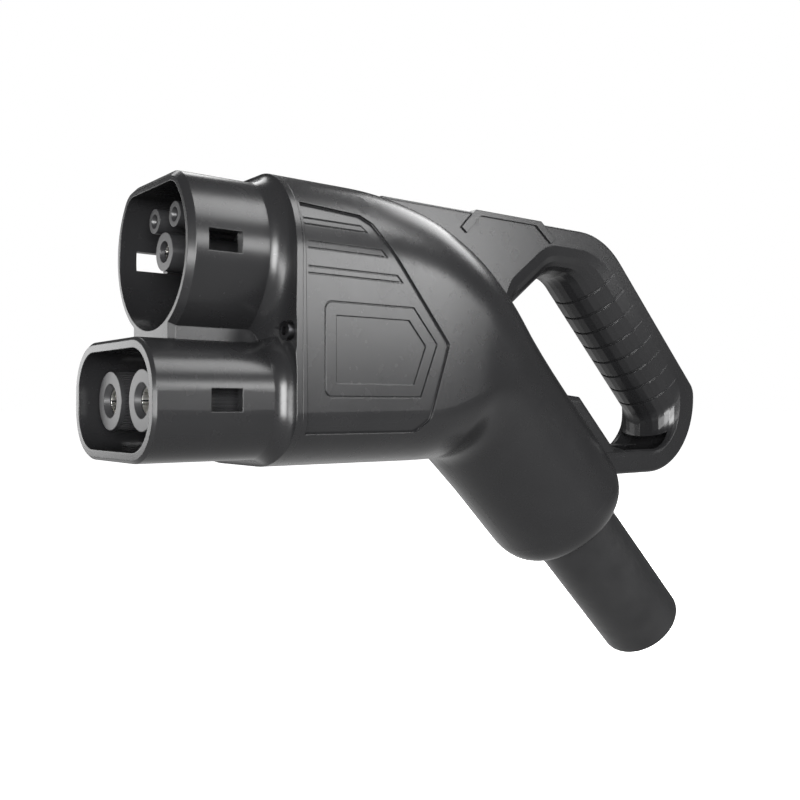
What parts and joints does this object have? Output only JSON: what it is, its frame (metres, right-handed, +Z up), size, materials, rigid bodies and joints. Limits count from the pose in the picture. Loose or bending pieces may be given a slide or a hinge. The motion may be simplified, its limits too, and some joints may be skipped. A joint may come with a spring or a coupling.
{
  "type": "ev charging connector",
  "caption": "Handheld vehicle charging connector with upper and lower socket shrouds, two-shell body, loop hand grip and a short straight cable tail.",
  "frame": {"origin": "middle of the earth sleeve's mouth in the upper shroud", "axes": "-X is the plugging direction, out of the sockets; +X runs back towards the cable, +Z up through the upper shroud, Y across the two shells with the screw heads at +Y"},
  "size_m": [0.302, 0.0788, 0.2052],
  "materials": {
    "shell_plastic": "satin, fine grain",
    "insert_plastic": "satin",
    "inner_plastic": "matte, glass filled",
    "contact_metal": "silver plated, turned",
    "conductor_copper": "stranded copper",
    "sheath_rubber": "satin",
    "filler_rubber": "matte",
    "seal_rubber": "matte",
    "core_red": "satin",
    "core_black": "satin",
    "core_green": "satin, green with a yellow stripe",
    "core_grey": "satin",
    "sensor_plastic": "matte",
    "board_laminate": "satin",
    "resistor_body": "matte",
    "screw_steel": "black oxide"
  },
  "bodies": {
    "root": {"front_shroud": "shell_plastic", "housing_left": "shell_plastic", "housing_right": "shell_plastic", "ac_insert": "insert_plastic", "dc_insert": "insert_plastic", "pe_contact": "contact_metal", "cp_contact": "contact_metal", "pp_contact": "contact_metal", "dc_plus_contact": "contact_metal", "dc_minus_contact": "contact_metal", "contact_retainer": "inner_plastic", "nose_gasket_upper": "seal_rubber", "nose_gasket_lower": "seal_rubber", "cable_sheath": "sheath_rubber", "cable_filler": "filler_rubber", "clamp_upper": "inner_plastic", "clamp_lower": "inner_plastic", "cable_seal": "seal_rubber", "temperature_sensor_plus": "sensor_plastic", "temperature_sensor_minus": "sensor_plastic", "coding_board": "board_laminate", "coding_resistor": "resistor_body", "housing_screws": "screw_steel", "nose_screws": "screw_steel", "retainer_screws": "screw_steel", "clamp_screws": "screw_steel", "dc_plus_insulation": "core_red", "dc_plus_conductor": "conductor_copper", "dc_minus_insulation": "core_black", "dc_minus_conductor": "conductor_copper", "pe_insulation": "core_green", "pe_conductor": "conductor_copper", "cp_insulation": "core_grey", "cp_conductor": "conductor_copper", "pp_insulation": "core_grey", "pp_conductor": "conductor_copper", "sensor_plus_insulation": "core_grey", "sensor_plus_conductor": "conductor_copper", "sensor_minus_insulation": "core_grey", "sensor_minus_conductor": "conductor_copper"}
  },
  "joints": []
}
